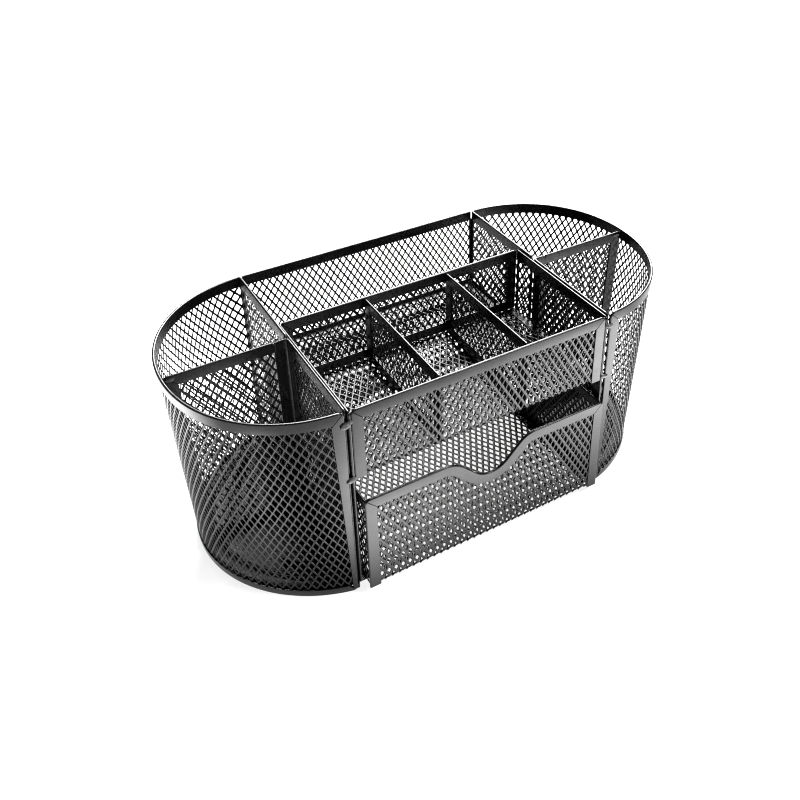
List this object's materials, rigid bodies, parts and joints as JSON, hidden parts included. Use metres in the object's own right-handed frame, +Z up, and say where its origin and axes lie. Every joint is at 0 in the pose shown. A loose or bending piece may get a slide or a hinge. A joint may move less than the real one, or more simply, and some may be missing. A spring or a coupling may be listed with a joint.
{
  "type": "pen stand with drawer",
  "caption": "Desk organizer of black expanded metal mesh: divided D-shaped pen cups at both ends, a tray with small bays, a shallow rear bin and a drawer with a finger scoop.",
  "frame": {"origin": "on the ground, at the middle of the footprint with the drawer ajar as stored", "axes": "+X to the viewer's right along the long side, +Y to the back, +Z up; the drawer opens towards -Y"},
  "size_m": [0.241, 0.1218, 0.1],
  "materials": {
    "mesh": "semi-gloss black powder coat on expanded steel mesh",
    "edging": "semi-gloss black powder coat on folded steel strip",
    "floor_sheet": "satin black powder coat on pressed steel sheet",
    "weld": "black powder coat over a rough weld bead"
  },
  "bodies": {
    "organizer": {"back_wall_foot_strip": "edging", "back_wall_mesh": "mesh", "back_wall_top_rim": "edging", "drawer_runners": "edging", "left_bay_side_frame": "edging", "left_bay_side_mesh": "mesh", "left_cup_floor": "floor_sheet", "left_cup_foot_rim": "edging", "left_cup_posts": "edging", "left_cup_top_rim": "edging", "left_cup_wall_mesh": "mesh", "left_divider_frame": "edging", "left_divider_leg_mesh": "mesh", "left_divider_mesh": "mesh", "left_side_wall_frame": "edging", "left_side_wall_mesh": "mesh", "rear_bin_edge_strips": "edging", "rear_bin_floor_frame": "edging", "rear_bin_floor_mesh": "mesh", "rear_bin_front_mesh": "mesh", "right_bay_side_frame": "edging", "right_bay_side_mesh": "mesh", "right_cup_floor": "floor_sheet", "right_cup_foot_rim": "edging", "right_cup_posts": "edging", "right_cup_top_rim": "edging", "right_cup_wall_mesh": "mesh", "right_divider_frame": "edging", "right_divider_leg_mesh": "mesh", "right_divider_mesh": "mesh", "right_side_wall_frame": "edging", "right_side_wall_mesh": "mesh", "tray_divider_left_frame": "edging", "tray_divider_left_mesh": "mesh", "tray_divider_right_frame": "edging", "tray_divider_right_mesh": "mesh", "tray_floor_mesh": "mesh", "tray_front_frame": "edging", "tray_front_mesh": "mesh", "tray_rear_frame": "edging", "tray_rear_mesh": "mesh", "weld_beads": "weld"},
    "drawer": {"drawer_back_mesh": "mesh", "drawer_back_rim": "edging", "drawer_floor_mesh": "mesh", "drawer_front_frame": "edging", "drawer_front_mesh": "mesh", "drawer_left_side_mesh": "mesh", "drawer_left_side_rim": "edging", "drawer_right_side_mesh": "mesh", "drawer_right_side_rim": "edging"}
  },
  "joints": [
    {"name": "drawer_slide", "type": "slide", "parent": "organizer", "child": "drawer", "axis": [0, -1, 0], "range_m": [-0.005, 0.065]}
  ]
}
